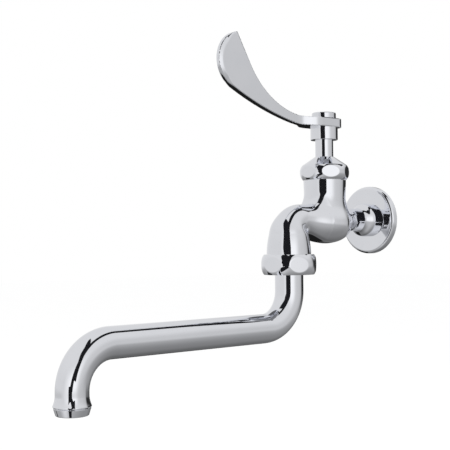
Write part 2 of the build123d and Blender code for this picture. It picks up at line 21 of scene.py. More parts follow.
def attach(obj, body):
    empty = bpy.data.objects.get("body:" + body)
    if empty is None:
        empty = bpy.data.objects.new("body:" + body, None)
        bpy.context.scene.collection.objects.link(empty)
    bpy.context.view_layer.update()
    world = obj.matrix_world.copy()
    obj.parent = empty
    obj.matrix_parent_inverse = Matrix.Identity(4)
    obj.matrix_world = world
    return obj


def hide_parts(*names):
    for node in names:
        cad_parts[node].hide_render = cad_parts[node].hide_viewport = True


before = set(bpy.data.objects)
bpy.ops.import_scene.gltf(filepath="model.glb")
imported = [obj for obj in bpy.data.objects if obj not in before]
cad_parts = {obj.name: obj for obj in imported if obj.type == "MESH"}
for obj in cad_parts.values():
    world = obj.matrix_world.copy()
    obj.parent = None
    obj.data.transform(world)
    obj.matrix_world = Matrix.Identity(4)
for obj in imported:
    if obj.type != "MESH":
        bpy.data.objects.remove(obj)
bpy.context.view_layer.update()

LOG = logging.getLogger("wall_tap")
MILLIMETRE = 0.001
TINY = 1e-6
TINIEST = 1e-9
SHARP = math.radians(35.0)
LEAST_SLOPE = 0.05
LONGEST_STEP = 0.8
RELAX_ROUNDS = 4
RELAX_SHARE = 0.6
PHOTO_WIDTH = 450
SENSOR = 36.0
WHITE = (1.0, 1.0, 1.0)
BLACK = (0.0, 0.0, 0.0)

VALVE_Y = -48.5
SWIVEL_Y = -84.1
OUTLET_Y = -252.9

Array = np.ndarray
Field = Callable[[Array], Array]
Point = tuple[float, float]
Corner = tuple[float, float, float]


class Axis(Enum):
    """The axes that turned pieces are built about, each by a point on it and its direction."""

    VALVE = ((0.0, VALVE_Y, 0.0), (0.0, 0.0, 1.0))
    SWIVEL = ((0.0, SWIVEL_Y, 0.0), (0.0, 0.0, 1.0))
    OUTLET = ((0.0, OUTLET_Y, 0.0), (0.0, 0.0, 1.0))
    INLET = ((0.0, 0.0, 0.0), (0.0, -1.0, 0.0))

    def place(self, radius: Array, along: Array, angle: Array) -> Array:
        """Points at a radius, a length along the axis and an angle round it.

        Args:
            radius: Distances from the axis.
            along: Lengths along the axis.
            angle: Angles round it, in radians.

        Returns:
            The points in rows of x, y and z.
        """
        origin, way = (np.array(part) for part in self.value)
        first = np.array((1.0, 0.0, 0.0))
        second = np.cross(way, first)
        across = np.cos(angle)[..., None] * first + np.sin(angle)[..., None] * second
        return origin + along[..., None] * way + radius[..., None] * across


class Wire:
    """A shader socket that adds Math nodes when it is used in an expression."""

    def __init__(self, shader: "Shader", socket: bpy.types.NodeSocket) -> None:
        """Keep the socket and the tree that it belongs to."""
        self.shader = shader
        self.socket = socket

    def _math(self, operation: str, first: "Value", second: "Value") -> "Wire":
        """A Math node on two values."""
        return self.shader.node("ShaderNodeMath", {"operation": operation}, {0: first, 1: second})

    def __add__(self, other: "Value") -> "Wire":
        """This value plus another."""
        return self._math("ADD", self, other)

    def __radd__(self, other: "Value") -> "Wire":
        """Another value plus this one."""
        return self._math("ADD", other, self)

    def __sub__(self, other: "Value") -> "Wire":
        """This value less another."""
        return self._math("SUBTRACT", self, other)

    def __rsub__(self, other: "Value") -> "Wire":
        """Another value less this one."""
        return self._math("SUBTRACT", other, self)

    def __mul__(self, other: "Value") -> "Wire":
        """This value times another."""
        return self._math("MULTIPLY", self, other)

    def __rmul__(self, other: "Value") -> "Wire":
        """Another value times this one."""
        return self._math("MULTIPLY", other, self)

    def clamped(self, low: float, high: float) -> "Wire":
        """This value held between two limits."""
        return self.shader.node("ShaderNodeClamp", {}, {"Value": self, "Min": low, "Max": high})

    def step(self, start: float, end: float) -> "Wire":
        """A smooth step from 0 to 1 as this value goes from one limit to the other."""
        inputs = {"Value": self, "From Min": start, "From Max": end, "To Min": 0.0, "To Max": 1.0}
        return self.shader.node("ShaderNodeMapRange", {"interpolation_type": "SMOOTHSTEP"}, inputs)


Value = Union[float, tuple, Wire]


class Shader:
    """A node tree of a material or of the world, with one method that makes its nodes."""

    def __init__(self, tree: bpy.types.NodeTree) -> None:
        """Take an empty tree."""
        self.tree = tree
        tree.nodes.clear()

    def node(self, kind: str, settings: Mapping[str, object], inputs: Mapping[object, Value],
             output: Union[int, str] = 0) -> Wire:
        """Make one node, set it and link it.

        Args:
            kind: The node's type.
            settings: Properties that are set first. "stops" holds a ramp's positions and colours.
            inputs: Values, colours or wires by socket name or number.
            output: The output socket that is wanted.

        Returns:
            That output.
        """
        made = self.tree.nodes.new(kind)
        for name, value in settings.items():
            if name != "stops":
                setattr(made, name, value)
                continue
            ramp = made.color_ramp.elements
            while len(ramp) < len(value):
                ramp.new(1.0)
            for element, (position, colour) in zip(ramp, value):
                element.position = position
                element.color = (*colour, 1.0)
        for name, value in inputs.items():
            socket = made.inputs[name]
            if isinstance(value, Wire):
                self.tree.links.new(value.socket, socket)
            else:
                socket.default_value = (*value, 1.0) if socket.type == "RGBA" else value
        return Wire(self, made.outputs[output]) if made.outputs else Wire(self, None)

    def noise(self, scale: float, detail: float, stretch: tuple = (1.0, 1.0, 1.0)) -> Wire:
        """Noise over the object's own coordinates.

        Args:
            scale: Its scale per metre.
            detail: Its octaves.
            stretch: Scale along each axis.

        Returns:
            The noise value, from 0 to 1.
        """
        place = self.node("ShaderNodeTexCoord", {}, {}, "Object")
        spread = self.node("ShaderNodeMapping", {}, {"Vector": place, "Scale": stretch})
        return self.node("ShaderNodeTexNoise", {}, {"Vector": spread, "Scale": scale, "Detail": detail})

    def bump(self, height: Wire, strength: float, distance: float) -> Wire:
        """A bumped normal."""
        inputs = {"Height": height, "Strength": strength, "Distance": distance}
        return self.node("ShaderNodeBump", {}, inputs, "Normal")

    def mix(self, share: Value, first: Value, second: Value) -> Wire:
        """A mix of two colours, with that share of the second."""
        return self.node("ShaderNodeMix", {"data_type": "RGBA"}, {0: share, 6: first, 7: second}, 2)


@dataclass(frozen=True)
class Finish:
    """A finish: the colour and gloss of a material, and the scale of its fine detail."""

    name: str
    slot: str
    colour: tuple[float, float, float]
    tone: tuple[float, float, float]
    metallic: float
    smooth: float
    rough: float
    grain: float
    stretch: tuple[float, float, float]
    relief: float
    bump: float = 0.3
    cloud: float = 45.0
    cloud_edge: Point = (0.35, 0.65)
    cloud_share: float = 0.6
    grain_share: float = 0.4

    def material(self) -> bpy.types.Material:
        """The material of this finish, made once.

        Returns:
            The material.
        """
        held = bpy.data.materials.get(self.name)
        if held is not None:
            return held
        made = bpy.data.materials.new(self.name)
        made.use_nodes = True
        shader = Shader(made.node_tree)
        cloud = shader.noise(self.cloud, 3.0)
        grain = shader.noise(self.grain, 4.0, self.stretch)
        colour = shader.mix(cloud.step(*self.cloud_edge), self.colour, self.tone)
        share = (self.cloud_share * cloud + self.grain_share * grain).clamped(0.0, 1.0)
        roughness = self.smooth + (self.rough - self.smooth) * share
        inputs = {"Base Color": colour, "Roughness": roughness, "Metallic": self.metallic,
                  "Normal": shader.bump(grain, self.bump, self.relief)}
        surface = shader.node("ShaderNodeBsdfPrincipled", {}, inputs)
        shader.node("ShaderNodeOutputMaterial", {}, {"Surface": surface})
        return made


CHROME = Finish("chrome_plate", "chrome", (0.885, 0.897, 0.938), (0.865, 0.878, 0.92), 1.0, 0.025, 0.06,
                900.0, (1.0, 1.0, 1.0), 0.000001)
BRASS = Finish("turned_brass", "brass", (0.72, 0.56, 0.3), (0.62, 0.46, 0.22), 1.0, 0.22, 0.4,
               700.0, (1.0, 1.0, 12.0), 0.00002)
RUBBER = Finish("black_rubber", "rubber", (0.03, 0.03, 0.03), (0.05, 0.05, 0.05), 0.0, 0.55, 0.8,
                1500.0, (1.0, 1.0, 1.0), 0.00003)
RESIN = Finish("pale_resin", "resin", (0.82, 0.83, 0.82), (0.76, 0.77, 0.76), 0.0, 0.3, 0.5,
               1200.0, (1.0, 1.0, 1.0), 0.00001)
STEEL = Finish("spring_steel", "steel", (0.6, 0.61, 0.62), (0.5, 0.51, 0.53), 1.0, 0.2, 0.35,
               800.0, (1.0, 1.0, 20.0), 0.00001)


def shown(name: str, mesh: bpy.types.Mesh, material: bpy.types.Material) -> bpy.types.Object:
    """Put a mesh into the scene as an object with a material.

    Args:
        name: The name of the object.
        mesh: The mesh.
        material: The material.

    Returns:
        The object.
    """
    made = bpy.data.objects.new(name, mesh)
    made.data.materials.append(material)
    bpy.context.scene.collection.objects.link(made)
    return made


@dataclass(frozen=True)
class Skin:
    """A closed surface: points in millimetres and faces."""

    points: Array
    faces: list[tuple[int, ...]]

    def piece(self, name: str, finish: Finish, body: str,
              stands_for: Iterable[str] = ()) -> bpy.types.Object:
        """Make the Blender object, dress it and let it ride on its body.

        Args:
            name: The name of the piece.
            finish: Its finish.
            body: The CAD body that it moves with.
            stands_for: CAD nodes that it replaces.

        Returns:
            The object.
        """
        mesh = bpy.data.meshes.new(name)
        mesh.from_pydata((self.points * MILLIMETRE).tolist(), [], self.faces)
        mesh.validate()
        mesh.shade_smooth()
        mesh.set_sharp_from_angle(angle=SHARP)
        made = shown(name, mesh, finish.material())
        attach(made, body)
        if stands_for:
            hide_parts(*stands_for)
        LOG.info("%s: %d faces on %s", name, len(mesh.polygons), body)
        return made


def rounded(corners: Sequence[Corner], step: float = 6.0) -> list[Point]:
    """Round the corners of an outline.

    Args:
        corners: Each corner's two coordinates and its rounding radius.
        step: Degrees between the points of a rounding.

    Returns:
        The points of the outline.
    """
    out: list[Point] = []
    for index, (x, y, radius) in enumerate(corners):
        here = np.array((x, y))
        before = np.array(corners[index - 1][:2])
        after = np.array(corners[(index + 1) % len(corners)][:2])
        if radius <= 0.0 or index in (0, len(corners) - 1):
            out.append((x, y))
            continue
        back = (before - here) / np.linalg.norm(before - here)
        ahead = (after - here) / np.linalg.norm(after - here)
        half = math.acos(float(np.clip(back @ ahead, -1.0, 1.0))) / 2
        reach = radius / math.tan(half)
        centre = here + (back + ahead) / np.linalg.norm(back + ahead) * radius / math.sin(half)
        start = here + back * reach - centre
        turn = math.pi - 2 * half
        side = 1.0 if back[0] * ahead[1] - back[1] * ahead[0] < 0 else -1.0
        count = max(2, int(math.degrees(turn) / step) + 1)
        for part in range(count + 1):
            angle = side * turn * part / count
            across = start[0] * math.cos(angle) - start[1] * math.sin(angle)
            along = start[0] * math.sin(angle) + start[1] * math.cos(angle)
            out.append((float(centre[0] + across), float(centre[1] + along)))
    return out


def divided(points: Sequence[Point], pitch: float) -> list[Point]:
    """Divide the long runs of an outline.

    Args:
        points: The outline.
        pitch: The longest run that is kept.

    Returns:
        The outline with points no further apart.
    """
    out = [points[0]]
    for start, end in zip(points, points[1:]):
        count = max(1, math.ceil(math.dist(start, end) / pitch))
        wide, high = end[0] - start[0], end[1] - start[1]
        out += [(start[0] + wide * part / count, start[1] + high * part / count)
                for part in range(1, count + 1)]
    return out


def ring_faces(rows: int, count: int, closed: bool) -> list[tuple[int, ...]]:
    """Faces of a grid of rings.

    Args:
        rows: The number of rings.
        count: Points in each ring.
        closed: Whether the last ring joins the first.

    Returns:
        The faces.
    """
    faces = []
    for row in range(rows if closed else rows - 1):
        low, high = row * count, (row + 1) % rows * count
        faces += [(low + k, low + (k + 1) % count, high + (k + 1) % count, high + k) for k in range(count)]
    return faces


def turned(outline: Sequence[Point], axis: Axis, count: int = 96,
           shape: Callable[[Array, Array, Array], Array] | None = None) -> Skin:
    """Turn an outline about an axis.

    Args:
        outline: Radius and length along the axis of each point. An outline that starts and ends
            on the axis closes there, and any other is a closed ring.
        axis: The axis.
        count: Points round the axis.
        shape: Changes the radii by radius, length and angle, to cut flats.

    Returns:
        The skin.
    """
    poles = [outline[0][0] == 0.0, outline[-1][0] == 0.0]
    rings = list(outline[int(poles[0]):len(outline) - int(poles[1])])
    radius, along = (np.repeat(np.array(column)[:, None], count, 1) for column in zip(*rings))
    angle = np.repeat((np.arange(count) * 2 * math.pi / count)[None, :], len(rings), 0)
    if shape is not None:
        radius = shape(radius, along, angle)
    points = axis.place(radius, along, angle).reshape(-1, 3)
    faces = ring_faces(len(rings), count, not any(poles))
    ends = [(0, outline[0]), ((len(rings) - 1) * count, outline[-1])]
    for (first, end), pole in zip(ends, poles):
        if pole:
            tip = axis.place(np.zeros(1), np.array([end[1]]), np.zeros(1))
            points = np.vstack((points, tip))
            last = len(points) - 1
            fan = [(first + (k + 1) % count, first + k, last) for k in range(count)]
            faces += fan if first == 0 else [face[::-1] for face in fan]
    return facing_out(Skin(points, faces))


def facing_out(skin: Skin) -> Skin:
    """Turn all faces outwards by the sign of the enclosed volume.

    Args:
        skin: A closed skin with faces of one sense.

    Returns:
        The skin with its faces outwards.
    """
    fans = np.array([(face[0], face[k], face[k + 1])
                     for face in skin.faces for k in range(1, len(face) - 1)])
    a, b, c = (skin.points[fans[:, k]] for k in range(3))
    volume = float(np.einsum("ij,ij->i", a, np.cross(b, c)).sum())
    return skin if volume > 0 else Skin(skin.points, [face[::-1] for face in skin.faces])


def union(first: Array, second: Array, radius: Union[float, Array]) -> Array:
    """Join two distance fields with a fillet of that radius."""
    inner = np.hypot(np.maximum(radius - first, 0.0), np.maximum(radius - second, 0.0))
    return np.maximum(np.minimum(first, second), radius) - inner


def meet(first: Array, second: Array, radius: float) -> Array:
    """Cut one distance field by another, with an edge rounded to that radius."""
    return -union(-first, -second, radius)


def gradient(field: Field, points: Array, reach: float = 0.01) -> Array:
    """Slope of a field by central differences.

    Args:
        field: The field.
        points: Where it is wanted.
        reach: Half the distance of the two samples.

    Returns:
        The slopes.
    """
    parts = []
    for axis in range(3):
        shift = np.zeros(3)
        shift[axis] = reach
        parts.append((field(points + shift) - field(points - shift)) / (2 * reach))
    return np.stack(parts, -1)


def settle(field: Field, points: Array, rounds: int) -> Array:
    """Move points onto the zero level of a field.

    Args:
        field: The field.
        points: The points.
        rounds: Newton steps.

    Returns:
        The moved points.
    """
    for _ in range(rounds):
        slope = gradient(field, points)
        size = np.maximum((slope ** 2).sum(-1), LEAST_SLOPE)
        step = np.clip(field(points) / size, -LONGEST_STEP, LONGEST_STEP)
        points = points - step[:, None] * slope
    return points


def skinned(field: Field, low: Sequence[float], high: Sequence[float], cell: float) -> Skin:
    """Lay an even net of quads on the zero level of a field.

    Args:
        field: The field, negative inside.
        low: The lowest corner of the room that holds it.
        high: The highest corner.
        cell: The size of the quads.

    Returns:
        The skin.
    """
    ticks = [np.arange(a, b + cell, cell) for a, b in zip(low, high)]
    grid = np.stack(np.meshgrid(*ticks, indexing="ij"), -1)
    value = field(grid.reshape(-1, 3)).reshape(grid.shape[:3])
    inside = value < 0
    cells = tuple(size - 1 for size in value.shape)
    corners = [(i, j, k) for i in (0, 1) for j in (0, 1) for k in (0, 1)]

    def shifted(array: Array, corner: tuple[int, int, int]) -> Array:
        """The values at one corner of every cell."""
        return array[tuple(slice(c, c + n) for c, n in zip(corner, cells))]

    filled = sum(shifted(inside, corner).astype(int) for corner in corners)
    mixed = (filled > 0) & (filled < 8)
    number = np.full(cells, -1)
    number[mixed] = np.arange(int(mixed.sum()))
    total, share = np.zeros((int(mixed.sum()), 3)), np.zeros(int(mixed.sum()))
    for corner in corners:
        for axis in range(3):
            if corner[axis]:
                continue
            other = tuple(1 if k == axis else c for k, c in enumerate(corner))
            first, second = shifted(value, corner)[mixed], shifted(value, other)[mixed]
            cut = (first < 0) != (second < 0)
            part = np.where(cut, first / np.where(cut, first - second, 1.0), 0.0)
            spot = shifted(grid, corner)[mixed].copy()
            spot[:, axis] += part * cell
            total += spot * cut[:, None]
            share += cut
    points = total / share[:, None]
    faces = []
    for axis in range(3):
        second, third = (axis + 1) % 3, (axis + 2) % 3
        size = list(value.shape)
        size[axis] -= 1
        span = [slice(0, size[k]) if k == axis else slice(1, size[k] - 1) for k in range(3)]
        ahead = list(span)
        ahead[axis] = slice(1, size[axis] + 1)
        first, last = inside[tuple(span)], inside[tuple(ahead)]
        around = []
        for a, b in ((-1, -1), (0, -1), (0, 0), (-1, 0)):
            near = [slice(0, size[axis]) if k == axis else None for k in range(3)]
            near[second] = slice(1 + a, size[second] - 1 + a)
            near[third] = slice(1 + b, size[third] - 1 + b)
            around.append(number[tuple(near)])
        for where, order in ((first & ~last, (0, 1, 2, 3)), (~first & last, (3, 2, 1, 0))):
            faces.append(np.stack([around[k][where] for k in order], -1))
    quads = np.vstack(faces)
    for _ in range(RELAX_ROUNDS):
        mean, count = np.zeros_like(points), np.zeros(len(points))
        for k in range(4):
            for step in (1, 3):
                np.add.at(mean, quads[:, k], points[quads[:, (k + step) % 4]])
                np.add.at(count, quads[:, k], 1.0)
        points = (1.0 - RELAX_SHARE) * points + RELAX_SHARE * mean / count[:, None]
        points = settle(field, points, 1)
    points = settle(field, points, 3)
    return facing_out(Skin(points, [tuple(quad) for quad in quads.tolist()]))


def eased(part: Array) -> Array:
    """A smooth step over values that are first held between 0 and 1."""
    part = np.clip(part, 0.0, 1.0)
    return part * part * (3.0 - 2.0 * part)


def bezier(pulls: Sequence[float], part: Array) -> Array:
    """Coordinate of a cubic Bezier curve with these four points, at a share of it from 0 to 1."""
    (a, b, c, d), rest = pulls, 1.0 - part
    return a * rest ** 3 + 3 * b * rest ** 2 * part + 3 * c * rest * part ** 2 + d * part ** 3


def bezier_slope(pulls: Sequence[float], part: Array) -> Array:
    """Slope of that coordinate."""
    (a, b, c, d), rest = pulls, 1.0 - part
    return 3 * ((b - a) * rest ** 2 + 2 * (c - b) * rest * part + (d - c) * part ** 2)


def beside(along: Sequence[float], wide: Sequence[float], place: Array, rounds: int,
           least: float) -> tuple[Array, Array]:
    """Width and its slope on a cubic Bezier curve, found by length.

    Args:
        along: The lengths of the curve's four points.
        wide: Their widths.
        place: The lengths at which the width is wanted.
        rounds: Newton steps.
        least: The smallest slope that a step divides by.

    Returns:
        The widths and their slopes.
    """
    sign = math.copysign(1.0, along[3] - along[0])
    part = np.clip((place - along[0]) / (along[3] - along[0]), 0.0, 1.0)
    held = np.clip(place, min(along), max(along))
    for _ in range(rounds):
        slope = sign * np.maximum(sign * bezier_slope(along, part), least)
        part = np.clip(part - (bezier(along, part) - held) / slope, 0.0, 1.0)
    slope = sign * np.maximum(sign * bezier_slope(along, part), least)
    return bezier(wide, part), bezier_slope(wide, part) / slope


@dataclass
class Casting:
    """The body casting: bulge and neck, inlet shank with its thread, branch and leg."""

    bulge_r: float = 18.0
    bulge_z: float = -2.75
    bulge_half: float = 13.6
    neck_waist_r: float = 14.1
    neck_foot_z: float = 9.2
    neck_r: float = 14.7
    neck_top_z: float = 26.9
    pull: float = 5.0
    shank_r: float = 8.0
    shank_fillet: float = 10.5
    collar_r: float = 11.8
    collar_y: float = -13.2
    collar_edge: float = 4.6
    collar_fillet: float = 2.5
    branch_r: float = 10.0
    bend_r: float = 10.0
    # Length along the branch, radius there and slope, from the start of the bend down the leg.
    swell: tuple[Corner, ...] = ((0.0, 10.0, 0.0), (7.85, 10.6, 0.2), (13.7, 12.65, 0.27),
                                 (29.1, 14.85, 0.02))
    leg_end_z: float = -23.4
    branch_fillet: float = 5.0
    flank_fillet: float = 6.0
    crotch_fillet: float = 2.5
    least_fillet: float = 1e-3
    crotch_start: float = 8.0
    crotch_length: float = 12.0
    # Radius and height of the rings that are turned on the neck and on the leg, from the cut inwards.
    neck_rings: tuple[Point, ...] = ((13.1, 26.9), (13.1, 35.0), (12.6, 35.5), (8.55, 35.5), (8.55, 16.0),
                                     (9.2, 16.0), (9.2, 0.6))
    leg_rings: tuple[Point, ...] = ((12.9, -23.4), (12.9, -30.5), (12.4, -31.0), (11.25, -31.0),
                                    (11.25, -24.1), (7.0, -24.1), (7.0, -12.0))
    tail_cut: float = 5.0
    tail_r: float = 10.18
    thread_r: float = 10.4775
    thread_pitch: float = 1.814
    thread_depth: float = 1.16
    thread_end: float = 15.0
    thread_step: float = 0.13
    crest_top: float = 1.35
    crest_slope: float = 3.4
    run_out: float = 1.2
    end_bevel: float = 1.1
    mouth_r: float = 8.6
    bore_r: float = 5.75
    bore_bevel: float = 0.5
    bore_end: float = 34.0
    low: Corner = (-20.5, -102.0, -27.0)
    high: Corner = (20.5, 1.0, 30.0)
    cell: float = 0.75
    short_edge: float = 0.2
    cut_reach: float = 1e-7
    near: float = 0.02
    alike: float = 0.8

    def neck(self, points: Array) -> Array:
        """Distance field of the bulge and the neck over it.

        Args:
            points: Where it is wanted.

        Returns:
            The distances.
        """
        out, high = np.hypot(points[:, 0], points[:, 1] - VALVE_Y), points[:, 2]
        lift = (self.bulge_z, self.bulge_z + self.pull, self.neck_foot_z - self.pull, self.neck_foot_z)
        lean = (self.neck_r - self.neck_waist_r) / (self.neck_top_z - self.neck_foot_z)
        wide = (self.bulge_r, self.bulge_r, self.neck_waist_r - self.pull * lean, self.neck_waist_r)
        radius, tilt = beside(lift, wide, high, rounds=8, least=1.0)
        radius = radius + np.maximum(high - self.neck_foot_z, 0.0) * lean
        over = (out - radius) / np.sqrt(1.0 + tilt ** 2)
        flat, tall = out / self.bulge_r, (high - self.bulge_z) / self.bulge_half
        near = np.hypot(flat, tall)
        far = np.maximum(np.hypot(flat / self.bulge_r, tall / self.bulge_half), TINY)
        return np.where(high > self.bulge_z, over, near * (near - 1.0) / far)

    def shank(self, points: Array) -> Array:
        """Distance field of the inlet shank with its rounded collar.

        Args:
            points: Where it is wanted.

        Returns:
            The distances.
        """
        out = np.hypot(points[:, 0], points[:, 2])
        collar = meet(out - self.collar_r, self.collar_y - points[:, 1], self.collar_edge)
        side = union(out - self.shank_r, collar, self.collar_fillet)
        return np.maximum(side, VALVE_Y - points[:, 1])

    def branch(self, points: Array) -> Array:
        """Distance field of the outlet branch, its bend and the leg over the spout.

        Args:
            points: Where it is wanted.

        Returns:
            The distances.
        """
        x, y, z = points.T
        middle = SWIVEL_Y + self.bend_r
        quarter = math.pi / 2 * self.bend_r
        arm = np.sqrt(x ** 2 + z ** 2 + np.maximum(y - VALVE_Y, 0.0) ** 2) - self.branch_r
        angle = np.arctan2(np.maximum(middle - y, TINIEST), z + self.bend_r)
        around = np.hypot(x, np.hypot(y - middle, z + self.bend_r) - self.bend_r)
        bend = around - self.leg_radius(self.bend_r * angle)
        fall = -self.bend_r - z
        leg = np.hypot(x, y - SWIVEL_Y) - self.leg_radius(quarter + fall)
        knee = np.sqrt(x ** 2 + (y - SWIVEL_Y) ** 2 + np.maximum(-fall, 0.0) ** 2)
        knee = np.where(fall > 0, leg, knee - self.leg_radius(np.array([quarter]))[0])
        corner = eased(((y - SWIVEL_Y) - z - self.crotch_start) / self.crotch_length)
        inner = union(arm, knee, self.crotch_fillet * corner + self.least_fillet)
        return np.where((y < middle) & (z > -self.bend_r), bend, inner)

    def leg_radius(self, length: Array) -> Array:
        """Radius of the branch by length from the start of its bend.

        Args:
            length: The lengths.

        Returns:
            The radii.
        """
        out = np.full_like(length, self.branch_r)
        for (a, first, rise), (b, last, fall) in zip(self.swell, self.swell[1:]):
            part = np.clip((length - a) / (b - a), 0.0, 1.0)
            swollen = first + (last - first) * eased(part)
            swollen = swollen + (b - a) * part * (1.0 - part) * (rise * (1.0 - part) - fall * part)
            out = np.where(length > a, swollen, out)
        return out

    def field(self, points: Array) -> Array:
        """Distance field of the whole casting.

        Args:
            points: Where it is wanted.

        Returns:
            The distances.
        """
        trunk = union(self.neck(points), self.shank(points), self.shank_fillet)
        flank = eased(np.abs(points[:, 0]) / self.branch_r)
        return union(trunk, self.branch(points), self.branch_fillet + self.flank_fillet * flank)

    def build(self) -> bpy.types.Object:
        """Skin the casting, cut its ends square and turn the threads and bores on them.

        Returns:
            The piece.
        """
        made = skinned(self.field, self.low, self.high, self.cell).piece(
            "tap_casting", CHROME, "tap_body", ["body"])
        work = bmesh.new()
        work.from_mesh(made.data)
        self.finish_end(work, Axis.VALVE, self.neck_top_z, 1.0, self.neck_rings)
        self.finish_end(work, Axis.SWIVEL, self.leg_end_z, -1.0, self.leg_rings)
        self.finish_end(work, Axis.INLET, self.tail_cut, -1.0, self.thread_rings())
        bmesh.ops.recalc_face_normals(work, faces=work.faces)
        work.to_mesh(made.data)
        work.free()
        self.smooth(made.data)
        return made

    def thread_rings(self) -> list[Point]:
        """Radius and length of each ring of the pipe thread and of the bore through it.

        Returns:
            The rings, the threaded ones marked by their negative radius.
        """
        count = int(self.thread_end / self.thread_step)
        thread = [(-self.thread_r, -self.thread_end * k / count) for k in range(count + 1)]
        mouth = [(self.mouth_r, -self.thread_end), (self.bore_r + self.bore_bevel, -self.thread_end),
                 (self.bore_r, self.bore_bevel - self.thread_end), (self.bore_r, self.bore_end)]
        return [(self.tail_r, self.tail_cut), (self.tail_r, 0.0), *thread, *mouth]

    def thread_radius(self, along: float, angle: Array) -> Array:
        """Radius of the pipe thread, which runs out at both ends.

        Args:
            along: Length along the inlet axis, towards the room.
            angle: Angles round it.

        Returns:
            The radii.
        """
        turn = (along / self.thread_pitch - angle / (2 * math.pi)) % 1.0
        crest = eased(self.crest_top - self.crest_slope * np.abs(turn - 0.5))
        full = self.thread_r - self.thread_depth * (1.0 - crest)
        start = self.tail_r + (full - self.tail_r) * max(min(1.0, -along / self.run_out), 0.0)
        return np.minimum(start, self.thread_r - max(0.0, -along - self.thread_end + self.end_bevel))

    @staticmethod
    def rim(work: bmesh.types.BMesh, spot: Vector, way: Vector) -> list[bmesh.types.BMEdge]:
        """The open edges that lie in the plane of a cut."""
        return [edge for edge in work.edges if edge.is_boundary
                and all(abs((vert.co - spot).dot(way)) < TINY for vert in edge.verts)]

    def finish_end(self, work: bmesh.types.BMesh, axis: Axis, level: float, side: float,
                   rings: Sequence[Point]) -> None:
        """Cut one end square and draw rings from its rim.

        Args:
            work: The mesh.
            axis: The axis of that end.
            level: Where it is cut, along the axis.
            side: Which side of the cut goes: 1 for the side that the axis points to.
            rings: Radius and length of each ring.
        """
        origin, way = (Vector(part) for part in axis.value)
        spot = (origin + way * level) * MILLIMETRE
        whole = [*work.verts, *work.edges, *work.faces]
        bmesh.ops.bisect_plane(work, geom=whole, dist=self.cut_reach, plane_co=spot, plane_no=way * side,
                               clear_outer=True)
        rim = self.rim(work, spot, way)
        short = [edge for edge in rim if edge.calc_length() < self.short_edge * MILLIMETRE]
        if short:
            bmesh.ops.collapse(work, edges=short)
            rim = self.rim(work, spot, way)
        for radius, along in rings:
            grown = bmesh.ops.extrude_edge_only(work, edges=rim)["geom"]
            for vert in (part for part in grown if isinstance(part, bmesh.types.BMVert)):
                arm = vert.co / MILLIMETRE - origin
                arm -= way * arm.dot(way)
                angle = math.atan2(arm.dot(way.cross(Vector((1.0, 0.0, 0.0)))), arm.x)
                size = radius if radius > 0 else float(self.thread_radius(along, np.array([angle]))[0])
                vert.co = (origin + way * along + arm.normalized() * size) * MILLIMETRE
            rim = [part for part in grown if isinstance(part, bmesh.types.BMEdge)]
        bmesh.ops.contextual_create(work, geom=rim)

    def smooth(self, mesh: bpy.types.Mesh) -> None:
        """Give the cast faces the normals of the field, and leave the turned ones to Blender.

        Args:
            mesh: The finished mesh.
        """
        mesh.shade_smooth()
        mesh.set_sharp_from_angle(angle=SHARP)
        spots = np.zeros(len(mesh.vertices) * 3)
        mesh.vertices.foreach_get("co", spots)
        spots = spots.reshape(-1, 3) / MILLIMETRE
        cast = np.abs(self.field(spots)) < self.near
        slope = gradient(self.field, spots)
        slope /= np.maximum(np.linalg.norm(slope, axis=1, keepdims=True), TINIEST)
        normals = np.zeros((len(mesh.loops), 3))
        for face in mesh.polygons:
            if all(cast[corner] for corner in face.vertices):
                for loop, corner in zip(face.loop_indices, face.vertices):
                    if slope[corner] @ np.array(face.normal) > self.alike:
                        normals[loop] = slope[corner]
        mesh.normals_split_custom_set(normals.tolist())


